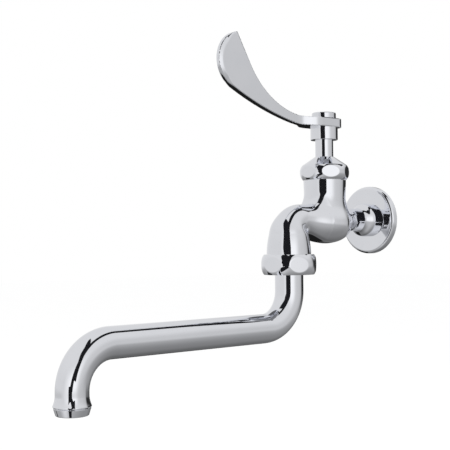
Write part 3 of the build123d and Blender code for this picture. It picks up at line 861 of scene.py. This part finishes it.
@dataclass
class Lever:
    """The wrist-blade lever with its hub, boss and index cap, on the turned spindle."""

    hub_low: float = 63.6
    hub_high: float = 69.7
    hub_back: float = -37.2
    hub_half: float = 9.5
    hub_corner: float = 6.6
    hub_front: float = -59.5
    blade_y: float = -77.0
    blade_half: float = 2.5
    waist_y: float = -68.25
    low_start: float = -72.0
    low_tilt: float = 10.0
    low_r: float = 225.0
    low_turn: float = 16.9
    low_edge: float = 1.5
    nose_r: float = 18.7
    high_start: float = -66.5
    high_r: float = 60.5
    high_turn: float = 60.0
    edge: float = 0.3
    bevel_side: float = 0.4
    bevel_plan: float = 0.9165
    bevel_depth: float = 1.15
    bevel_edge: float = 0.2
    fade_end: float = -138.0
    fade_length: float = 14.0
    fade_drop: float = 3.0
    low: Corner = (-10.5, -147.0, 62.0)
    high: Corner = (10.5, -36.0, 121.0)
    cell: float = 0.5
    cap_r: float = 8.3
    cap_top: float = 74.6
    cap_fall: float = 0.7
    cap_steps: int = 12
    cap_rim: tuple[Corner, ...] = ((7.0, 74.1, 0.0), (8.3, 73.9, 0.8), (8.3, 70.1, 0.25), (8.0, 69.7, 0.0))
    boss: tuple[Corner, ...] = ((6.3, 55.0, 0.0), (9.45, 55.0, 0.45), (9.45, 63.7, 0.0), (6.3, 63.7, 0.0))
    stem: tuple[Corner, ...] = ((0.0, 62.4, 0.0), (5.4, 62.4, 0.4), (5.4, 55.0, 0.0), (6.2, 55.0, 0.0),
                                (6.2, 31.9, 0.0), (8.5, 31.9, 0.5), (8.5, 12.4, 0.5), (6.0, 12.4, 0.0),
                                (6.0, 6.1, 0.5), (0.0, 6.1, 0.0))
    stem_pitch: float = 4.0

    def side(self, points: Array) -> tuple[Array, Array]:
        """Distance fields of the lever's side outline.

        Args:
            points: Where they are wanted.

        Returns:
            The distances of the upper outline and of the lower one with the nose.
        """
        y, z = points[:, 1], points[:, 2]
        turn = math.radians(self.high_turn)
        centre_y, centre_z = self.high_start, self.hub_high + self.high_r
        angle = np.arctan2(centre_y - y, centre_z - z)
        arc = self.high_r - np.hypot(y - centre_y, z - centre_z)
        end_y = centre_y - self.high_r * math.sin(turn)
        end_z = centre_z - self.high_r * math.cos(turn)
        tip = (y - end_y) * math.sin(turn) + (z - end_z) * math.cos(turn)
        over = np.where(angle < 0, z - self.hub_high, np.where(angle > turn, tip, arc))
        tilt = math.radians(self.low_tilt)
        low_y = self.low_start + self.low_r * math.sin(tilt)
        low_z = self.hub_low + self.low_r * math.cos(tilt)
        sweep = np.hypot(y - low_y, z - low_z) - self.low_r
        reach = math.radians(self.low_tilt + self.low_turn)
        nose_y = low_y - (self.low_r - self.nose_r) * math.sin(reach)
        nose_z = low_z - (self.low_r - self.nose_r) * math.cos(reach)
        nose = np.hypot(y - nose_y, z - nose_z) - self.nose_r
        past = np.arctan2(low_y - y, low_z - z) > reach
        return over, meet(np.where(past, nose, sweep), self.hub_low - z, self.low_edge)

    def plan(self, points: Array) -> Array:
        """Distance field of the lever's outline from above.

        Args:
            points: Where it is wanted.

        Returns:
            The distances.
        """
        x, y = np.abs(points[:, 0]), points[:, 1]
        out_x = x - self.hub_half + self.hub_corner
        out_y = y - self.hub_back + self.hub_corner
        hub = np.hypot(np.maximum(out_x, 0.0), np.maximum(out_y, 0.0))
        hub = hub + np.minimum(np.maximum(out_x, out_y), 0.0) - self.hub_corner
        along = (self.hub_front, self.waist_y, self.waist_y, self.blade_y)
        wide = (self.hub_half, self.hub_half, self.blade_half, self.blade_half)
        half, lean = beside(along, wide, y, rounds=10, least=3.0)
        return np.where(y > self.hub_front, hub, (x - half) / np.sqrt(1.0 + lean ** 2))

    def field(self, points: Array) -> Array:
        """Distance field of the lever, with the bevel under its blade and nose.

        Args:
            points: Where it is wanted.

        Returns:
            The distances.
        """
        (over, under), plan = self.side(points), self.plan(points)
        fade = np.clip((points[:, 1] - self.fade_end) / self.fade_length, 0.0, 1.0)
        bevel = self.bevel_side * under + self.bevel_plan * (plan + self.bevel_depth)
        blade = meet(meet(over, under, self.edge), plan, self.edge)
        return meet(blade, bevel - self.fade_drop * fade, self.bevel_edge)

    def build(self) -> list[bpy.types.Object]:
        """Make the lever, its boss, its cap and the spindle.

        Returns:
            The pieces.
        """
        lever = skinned(self.field, self.low, self.high, self.cell)
        steps = self.cap_steps
        crown = [(self.cap_r * k / steps, self.cap_top - self.cap_fall * (k / steps) ** 2)
                 for k in range(steps - 1)]
        cap = [*crown, *rounded(self.cap_rim)[1:], (0.0, self.hub_high)]
        return [lever.piece("lever_blade", CHROME, "spindle", ["lever_handle"]),
                turned(rounded(self.boss), Axis.VALVE).piece("lever_boss", CHROME, "spindle"),
                turned(cap, Axis.VALVE).piece("lever_cap", CHROME, "spindle", ["index_cap"]),
                turned(divided(rounded(self.stem), self.stem_pitch), Axis.VALVE).piece(
                    "turned_spindle", CHROME, "spindle", ["spindle"])]


@dataclass
class Nut:
    """A round nut with six milled flats."""

    name: str
    axis: Axis
    node: str
    flat_r: float
    turn: float
    barrel: tuple[Point, Point, Point]
    barrel_steps: int
    bore: tuple[Point, ...]
    foot: tuple[Corner, ...] = ()
    cone: tuple[Corner, ...] = ()
    cone_step: float = 0.4
    edge: float = 0.22
    # What lies deeper than this under the flats is the bore, which the flats leave round.
    wall: float = 2.0
    count: int = 540

    def outline(self) -> list[Point]:
        """Radius and height along the foot, the barrel, the cone and the bore.

        Returns:
            The points of the closed outline.
        """
        barrel = arc_points(*self.barrel, self.barrel_steps)
        if self.foot:
            barrel = rounded(self.foot)[:-1] + barrel[1:]
        cone = divided(rounded(self.cone), self.cone_step)[1:] if self.cone else []
        return [*barrel, *cone, *self.bore]

    def flats(self, radius: Array, along: Array, angle: Array) -> Array:
        """Radii with the six flats milled in.

        Args:
            radius: Radii of the turned form.
            along: Lengths along the axis, which the flats don't depend on.
            angle: Angles round the axis.

        Returns:
            The radii.
        """
        pitch = math.pi / 3
        local = (angle - math.radians(self.turn) + pitch / 2) % pitch - pitch / 2
        milled = meet_low(radius, self.flat_r / np.cos(local), self.edge)
        return np.where(radius < self.flat_r - self.wall, radius, milled)

    def build(self) -> bpy.types.Object:
        """Turn the nut and mill its flats."""
        skin = turned(self.outline(), self.axis, self.count, self.flats)
        return skin.piece(self.name, CHROME, "tap_body", [self.node])


def meet_low(first: Array, second: Array, radius: float) -> Array:
    """The smaller of two radii, with an edge of that radius rounded between them."""
    gap = np.clip((radius - np.abs(first - second)) / radius, 0.0, 1.0)
    return np.minimum(first, second) - radius * gap * gap / 4


def arc_points(start: Point, middle: Point, end: Point, count: int) -> list[Point]:
    """Points on the arc through three points.

    Args:
        start: The first point.
        middle: A point between.
        end: The last point.
        count: The number of steps.

    Returns:
        The points.
    """
    (ax, ay), (bx, by), (cx, cy) = start, middle, end
    twice = 2 * (ax * (by - cy) + bx * (cy - ay) + cx * (ay - by))
    first, second, third = (p[0] ** 2 + p[1] ** 2 for p in (start, middle, end))
    x = (first * (by - cy) + second * (cy - ay) + third * (ay - by)) / twice
    y = (first * (cx - bx) + second * (ax - cx) + third * (bx - ax)) / twice
    radius = math.hypot(ax - x, ay - y)
    begin, stop = math.atan2(ay - y, ax - x), math.atan2(cy - y, cx - x)
    angles = [begin + (stop - begin) * k / count for k in range(count + 1)]
    return [(x + radius * math.cos(angle), y + radius * math.sin(angle)) for angle in angles]


@dataclass
class CapNut(Nut):
    """The conical nut that closes the neck."""

    name: str = "cap_nut_skin"
    axis: Axis = Axis.VALVE
    node: str = "cap_nut"
    flat_r: float = 16.0
    turn: float = 29.0
    barrel: tuple[Point, Point, Point] = ((15.0, 27.3), (17.15, 32.9), (15.3, 37.5))
    barrel_steps: int = 56
    bore: tuple[Point, ...] = ((6.25, 41.0), (8.0, 41.0), (11.2, 37.0), (13.15, 37.0))
    foot: tuple[Corner, ...] = (
        (13.15, 28.5, 0.0), (13.15, 27.3, 0.3), (15.0, 27.3, 0.0), (15.1, 27.4, 0.0))
    cone: tuple[Corner, ...] = (
        (15.3, 37.5, 0.0), (6.7, 43.3, 0.5), (6.25, 43.3, 0.0), (6.25, 42.9, 0.0))


@dataclass
class SwivelNut(Nut):
    """The nut that holds the spout under the leg."""

    name: str = "swivel_nut_skin"
    axis: Axis = Axis.SWIVEL
    node: str = "swivel_nut"
    flat_r: float = 17.7
    turn: float = 38.0
    barrel: tuple[Point, Point, Point] = ((16.75, -37.0), (18.95, -30.3), (16.75, -23.6))
    barrel_steps: int = 64
    bore: tuple[Point, ...] = ((12.95, -23.6), (12.95, -34.5), (9.8, -34.6), (9.8, -37.0))


@dataclass
class Spout:
    """The bent spout pipe with its bell, and the ring on its mouth."""

    pipe_r: float = 9.5
    bore_r: float = 8.3
    top_edge: float = 0.3
    top_z: float = -24.2
    run_z: float = -71.6
    upper_r: float = 24.0
    lower_r: float = 25.2
    flare_top_z: float = -98.9
    flare_z: float = -104.9
    flare_r: float = 10.8
    flare_length: float = 5.4
    flare_power: float = 1.8
    flare_steps: int = 12
    mouth_r: float = 8.9
    mouth_depth: float = 3.9
    lip_round: float = 0.3
    outer_pitch: float = 1.1
    bore_pitch: float = 2.5
    ring: tuple[Corner, ...] = ((8.75, -105.5, 0.0), (10.6, -105.3, 0.25), (9.2, -109.7, 0.5),
                                (7.2, -109.7, 0.2), (7.2, -108.4, 0.0), (7.95, -108.4, 0.0),
                                (7.95, -101.1, 0.0), (8.75, -101.1, 0.0))
    count: int = 96

    def legs(self) -> tuple[float, float, float, float]:
        """Lengths of the four parts of the centre line above the outlet's straight end.

        Returns:
            The upper leg, the upper bend, the level run and the lower bend.
        """
        drop = self.top_z - self.run_z - self.upper_r
        run = SWIVEL_Y - self.upper_r - (OUTLET_Y + self.lower_r)
        return drop, self.upper_r * math.pi / 2, run, self.lower_r * math.pi / 2

    def along(self, length: Array) -> tuple[Array, Array]:
        """Centre line of the pipe by length from its top.

        Args:
            length: The lengths.

        Returns:
            Points of the centre line and the angle by which it has turned from straight down.
        """
        drop, first, run, second = self.legs()
        upper = np.clip((length - drop) / self.upper_r, 0.0, math.pi / 2)
        level = np.clip(length - drop - first, 0.0, run)
        lower = np.clip((length - drop - first - run) / self.lower_r, 0.0, math.pi / 2)
        fall = np.maximum(length - drop - first - run - second, 0.0)
        y = SWIVEL_Y - self.upper_r * (1 - np.cos(upper)) - level - self.lower_r * np.sin(lower)
        z = self.top_z - np.minimum(length, drop) - self.upper_r * np.sin(upper)
        z = z - self.lower_r * (1 - np.cos(lower)) - fall
        return np.stack((np.zeros_like(y), y, z), -1), upper - lower

    def outline(self) -> list[Point]:
        """Radius and length along the centre line of the tube's wall, outside and then inside.

        Returns:
            The points of the closed outline.
        """
        end = sum(self.legs()) + (self.run_z - self.lower_r - self.flare_z)
        bell = end - (self.flare_top_z - self.flare_z)
        grow, steps = self.flare_r - self.pipe_r, self.flare_steps
        swell = [(self.pipe_r + grow * (k / steps) ** self.flare_power,
                  bell + self.flare_length * k / steps) for k in range(1, steps + 1)]
        outer = divided([(self.pipe_r - self.top_edge, 0.0), (self.pipe_r, self.top_edge),
                         (self.pipe_r, bell)], self.outer_pitch)
        lip = rounded([swell[-1] + (0.0,), (self.flare_r, end, self.lip_round),
                       (self.mouth_r, end, 0.0)])[1:]
        deep = end - self.mouth_depth
        bore = divided([(self.bore_r, deep), (self.bore_r, self.top_edge)], self.bore_pitch)
        return outer + swell + lip + [(self.mouth_r, deep)] + bore + [(self.bore_r, 0.0)]

    def build(self) -> list[bpy.types.Object]:
        """Make the pipe and its outlet ring.

        Returns:
            The pieces.
        """
        outline = self.outline()
        radius = np.array([r for r, _ in outline])
        centre, turn = self.along(np.array([s for _, s in outline]))
        angle = np.arange(self.count) * 2 * math.pi / self.count
        side = np.stack((np.zeros_like(turn), np.cos(turn), -np.sin(turn)), -1)
        across = np.cos(angle)[None, :, None] * np.array((1.0, 0.0, 0.0)) \
            + np.sin(angle)[None, :, None] * side[:, None, :]
        points = (centre[:, None, :] + radius[:, None, None] * across).reshape(-1, 3)
        pipe = facing_out(Skin(points, ring_faces(len(outline), self.count, True)))
        ring = turned(rounded(self.ring), Axis.OUTLET)
        return [pipe.piece("spout_tube", CHROME, "spout", ["spout_pipe"]),
                ring.piece("mouth_ring", CHROME, "spout", ["outlet_ring"])]


@dataclass
class WallPlate:
    """The cover plate on the wall, hollow at its back."""

    radius: float = 24.1
    depth: float = 5.0
    rounding: float = 2.2
    hole_r: float = 10.6
    boss_r: float = 13.4
    rim_r: float = 22.7
    hollow: float = 3.6
    rim_round: float = 0.8
    edge_round: float = 0.3
    pitch: float = 2.0
    count: int = 144

    def build(self) -> bpy.types.Object:
        """Turn the plate.

        Returns:
            The piece.
        """
        outline = [(self.hole_r, 0.0, 0), (self.boss_r, 0.0, 0), (self.boss_r, self.hollow, 0),
                   (self.rim_r, self.hollow, self.rim_round), (self.rim_r, 0.0, 0),
                   (self.radius, 0.0, self.edge_round),
                   (self.radius, self.depth, self.rounding), (self.hole_r, self.depth, 0)]
        skin = turned(divided(rounded(outline), self.pitch), Axis.INLET, self.count)
        return skin.piece("cover_plate", CHROME, "tap_body", ["wall_flange"])


@dataclass(frozen=True)
class Inside:
    """The CAD pieces inside the tap, which keep their shapes and get their own finishes."""

    groups: tuple[tuple[Finish, tuple[str, ...]], ...] = (
        (BRASS, ("packing_washer", "jumper_valve", "jumper_nut")),
        (RUBBER, ("gland_packing", "jumper_washer", "u_packing")),
        (RESIN, ("slip_ring", "straightener")),
        (STEEL, ("screw_washer", "handle_screw", "retaining_ring", "outlet_screen")),
    )

    def dress(self) -> None:
        """Put the finishes on the pieces."""
        for finish, nodes in self.groups:
            for node in nodes:
                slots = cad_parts[node].data.materials
                slots.clear()
                slots.append(finish.material())
                LOG.info("%s keeps its shape, in %s", node, finish.name)


def curve(knots: Array, count: int = 10) -> Array:
    """A smooth curve through points.

    Args:
        knots: The points in rows.
        count: Steps between two points.

    Returns:
        The points of the curve in rows.
    """
    held = np.vstack((2 * knots[0] - knots[1], knots, 2 * knots[-1] - knots[-2]))
    rows = []
    for a, b, c, d in zip(held, held[1:], held[2:], held[3:]):
        for part in np.arange(count) / count:
            bent = 2 * a - 5 * b + 4 * c - d + part * (3 * b - a - 3 * c + d)
            rows.append(b + 0.5 * part * (c - a + part * bent))
    return np.array([*rows, knots[-1]])


@dataclass
class Studio:
    """Camera, floor, lamp, world and the dark cards and ribbon that the chrome mirrors."""

    eye: Corner = (0.4548, -0.5338, -0.01545)
    azimuth: float = 49.13
    elevation: float = -1.07
    roll: float = -0.56
    focal_pixels: float = 954.42
    clip: Point = (0.01, 50.0)
    floor_z: float = -0.3
    floor_half: float = 6.0
    floor_glow: float = 1.28
    floor_share: float = 0.6
    floor_tones: tuple[Corner, Corner] = ((0.8, 0.8, 0.8), (0.78, 0.78, 0.79))
    floor_noise: float = 6.0
    floor_edge: Point = (0.3, 0.7)
    floor_rough: float = 0.9
    lamp_at: Corner = (0.3, -0.5, 1.4)
    lamp_size: float = 1.6
    lamp_power: float = 12.0
    card_colour: Corner = (0.012, 0.012, 0.014)
    low_card: tuple[Corner, ...] = (
        (20.0, -279.0, -240.0), (421.0, -516.0, -240.0), (421.0, -516.0, -70.0), (20.0, -279.0, -92.0))
    high_card: tuple[Corner, ...] = (
        (86.0, -309.0, -75.0), (409.0, -350.0, -75.0), (400.0, -349.0, 60.0), (330.0, -340.0, 195.0),
        (400.0, -349.0, 620.0), (-40.0, -292.0, 620.0), (0.0, -297.0, 260.0), (66.0, -306.0, 80.0),
        (66.0, -306.0, 15.0), (84.0, -308.0, -15.0))
    # Rows of x, y and z of the ribbon's middle line with its width there, and what its face turns to.
    ribbon_knots: tuple[tuple[float, ...], ...] = (
        (85.0, 190.0, 220.0, 130.0), (60.0, 110.0, 300.0, 110.0), (110.0, -40.0, 360.0, 105.0),
        (225.0, -270.0, 305.0, 100.0), (320.0, -410.0, 110.0, 110.0), (300.0, -490.0, -120.0, 120.0))
    ribbon_aim: Corner = (0.0, -130.0, -40.0)
    # Degrees round the tap, 0 towards the room and 90 to its right, with the level of grey there.
    walls: tuple[Point, ...] = (
        (-180, 0.02), (-146, 0.03), (-138, 0.5), (-128, 0.8), (-110, 0.72), (-80, 0.66), (0, 0.64),
        (46, 0.93), (60, 0.94), (80, 0.9), (90, 0.77), (100, 0.62), (112, 0.57), (130, 0.55), (150, 0.48),
        (158, 0.38), (164, 0.03), (180, 0.02))
    ceiling: float = 0.68
    ceiling_edge: Point = (0.12, 0.6)
    ground: float = 0.46
    ground_edge: Point = (-0.3, -0.03)
    # How the mirrored floor darkens downwards and to the left and brightens to the room.
    fall_share: float = 0.6
    fall_lean: float = 0.45
    fall_edge: Point = (0.1, 1.25)
    left_share: float = 0.5
    left_edge: Point = (-0.5, 0.2)
    room_share: float = 0.6
    room_lean: float = 0.6
    room_edge: Point = (0.1, 0.8)
    # The edges and the colour of a narrow dark patch in what the tap mirrors, low and to the left.
    patch_right: Point = (-0.66, -0.6)
    patch_left: Point = (-0.87, -0.82)
    patch_top: Point = (-0.12, -0.05)
    patch_back: Point = (-0.5, -0.35)
    patch_colour: Corner = (0.01, 0.01, 0.01)
    daylight: float = 0.7
    mirror_level: float = 1.1

    def camera(self) -> None:
        """Stand the camera where the photograph was taken from."""
        data = bpy.data.cameras.new("photo_camera")
        data.sensor_width = SENSOR
        data.lens = self.focal_pixels / PHOTO_WIDTH * SENSOR
        data.clip_start, data.clip_end = self.clip
        made = bpy.data.objects.new("photo_camera", data)
        bpy.context.scene.collection.objects.link(made)
        turns = ((self.azimuth, "Z"), (90.0 - self.elevation, "X"), (self.roll, "Z"))
        made.matrix_world = Matrix.Translation(self.eye)
        for angle, axis in turns:
            made.matrix_world = made.matrix_world @ Matrix.Rotation(math.radians(angle), 4, axis)
        bpy.context.scene.camera = made

    def floor(self) -> None:
        """Lay the pale floor, which looks white and isn't mirrored."""
        made = bpy.data.materials.new("pale_floor")
        made.use_nodes = True
        shader = Shader(made.node_tree)
        colour = shader.mix(shader.noise(self.floor_noise, 3.0).step(*self.floor_edge), *self.floor_tones)
        matt = shader.node("ShaderNodeBsdfPrincipled", {},
                           {"Base Color": colour, "Roughness": self.floor_rough})
        seen = shader.node("ShaderNodeLightPath", {}, {}, "Is Camera Ray")
        bright = shader.node("ShaderNodeEmission", {}, {"Color": WHITE, "Strength": self.floor_glow})
        surface = shader.node("ShaderNodeMixShader", {}, {0: self.floor_share * seen, 1: matt, 2: bright})
        shader.node("ShaderNodeOutputMaterial", {}, {"Surface": surface})
        far, low = self.floor_half, self.floor_z
        mesh = bpy.data.meshes.new("floor")
        mesh.from_pydata([(-far, -far, low), (far, -far, low), (far, far, low), (-far, far, low)], [],
                         [(0, 1, 2, 3)])
        floor = shown("floor", mesh, made)
        floor.visible_glossy = False

    def cards(self) -> None:
        """Hang the two dark cards and the dark ribbon. Only mirror rays see them."""
        made = bpy.data.materials.new("dark_strip")
        made.use_nodes = True
        shader = Shader(made.node_tree)
        surface = shader.node("ShaderNodeEmission", {}, {"Color": self.card_colour, "Strength": 1.0})
        shader.node("ShaderNodeOutputMaterial", {}, {"Surface": surface})
        for name, corners in (("low_card", self.low_card), ("high_card", self.high_card)):
            self.prop(name, np.array(corners), [tuple(range(len(corners)))], made)
        line = curve(np.array(self.ribbon_knots))
        spots, points = line[:, :3], []
        for index, (spot, width) in enumerate(zip(spots, line[:, 3])):
            way = spots[min(index + 1, len(line) - 1)] - spots[max(index - 1, 0)]
            across = np.cross(way, spot - np.array(self.ribbon_aim))
            across /= np.linalg.norm(across)
            points += [spot - across * width / 2, spot + across * width / 2]
        faces = [(2 * k, 2 * k + 1, 2 * k + 3, 2 * k + 2) for k in range(len(line) - 1)]
        self.prop("dark_ribbon", np.array(points), faces, made)

    @staticmethod
    def prop(name: str, points: Array, faces: list[tuple[int, ...]], material: bpy.types.Material) -> None:
        """Add a studio piece that only mirror rays see.

        Args:
            name: Its name.
            points: Its points in millimetres.
            faces: Its faces.
            material: Its material.
        """
        mesh = bpy.data.meshes.new(name)
        mesh.from_pydata((points * MILLIMETRE).tolist(), [], faces)
        made = shown(name, mesh, material)
        made.visible_camera = False
        made.visible_diffuse = False
        made.visible_shadow = False
        made.visible_transmission = False

    def lamp(self) -> None:
        """Hang one broad soft lamp over the tap, for the floor's shadow."""
        data = bpy.data.lights.new("soft_lamp", "AREA")
        data.shape = "DISK"
        data.size = self.lamp_size
        data.energy = self.lamp_power
        made = bpy.data.objects.new("soft_lamp", data)
        made.matrix_world = Matrix.Translation(self.lamp_at)
        made.visible_glossy = False
        bpy.context.scene.collection.objects.link(made)

    def world(self) -> None:
        """Light the tap evenly, and let it mirror a pale room over a grey floor."""
        made = bpy.data.worlds.new("studio")
        bpy.context.scene.world = made
        made.use_nodes = True
        shader = Shader(made.node_tree)
        way = shader.node("ShaderNodeTexCoord", {}, {}, "Generated")
        x, y, z = (shader.node("ShaderNodeSeparateXYZ", {}, {0: way}, axis) for axis in range(3))
        turn = shader.node("ShaderNodeMath", {"operation": "ARCTAN2"}, {0: x, 1: 0.0 - y})
        ramp = [((angle + 180) / 360, (level, level, level)) for angle, level in self.walls]
        around = shader.node("ShaderNodeValToRGB", {"stops": ramp}, {"Fac": turn * (0.5 / math.pi) + 0.5})
        fall = 1.0 - self.fall_share * (self.fall_lean * y - z).step(*self.fall_edge)
        left = 1.0 - self.left_share * (1.0 - x.step(*self.left_edge))
        front = 1.0 + self.room_share * (0.0 - y - self.room_lean * x).step(*self.room_edge)
        deep = shader.mix((self.ground * fall * left * front).clamped(0.0, 1.0), BLACK, WHITE)
        room = shader.mix(z.step(*self.ceiling_edge), around, (self.ceiling,) * 3)
        room = shader.mix(1.0 - z.step(*self.ground_edge), room, deep)
        patch = (1.0 - x.step(*self.patch_right)) * x.step(*self.patch_left)
        patch = patch * (1.0 - z.step(*self.patch_top)) * y.step(*self.patch_back)
        colour = shader.mix(patch, room, self.patch_colour)
        glossy = shader.node("ShaderNodeLightPath", {}, {}, "Is Glossy Ray")
        seen = shader.node("ShaderNodeLightPath", {}, {}, "Is Camera Ray")
        plain = shader.node("ShaderNodeBackground", {}, {"Color": WHITE, "Strength": self.daylight})
        mirrored = shader.node("ShaderNodeBackground", {}, {"Color": colour, "Strength": self.mirror_level})
        paper = shader.node("ShaderNodeBackground", {}, {"Color": WHITE, "Strength": 1.0})
        lit = shader.node("ShaderNodeMixShader", {}, {0: glossy, 1: plain, 2: mirrored})
        surface = shader.node("ShaderNodeMixShader", {}, {0: seen, 1: lit, 2: paper})
        shader.node("ShaderNodeOutputWorld", {}, {"Surface": surface})

    def build(self) -> None:
        """Set up the whole studio."""
        bpy.context.scene.view_settings.view_transform = "Standard"
        self.camera()
        self.floor()
        self.cards()
        self.lamp()
        self.world()


def main() -> None:
    """Build the pieces in order."""
    logging.basicConfig(level=logging.INFO, format="%(name)s: %(message)s")
    Studio().build()
    Casting().build()
    WallPlate().build()
    CapNut().build()
    SwivelNut().build()
    Lever().build()
    Spout().build()
    Inside().dress()


if __name__ == "__main__":
    main()
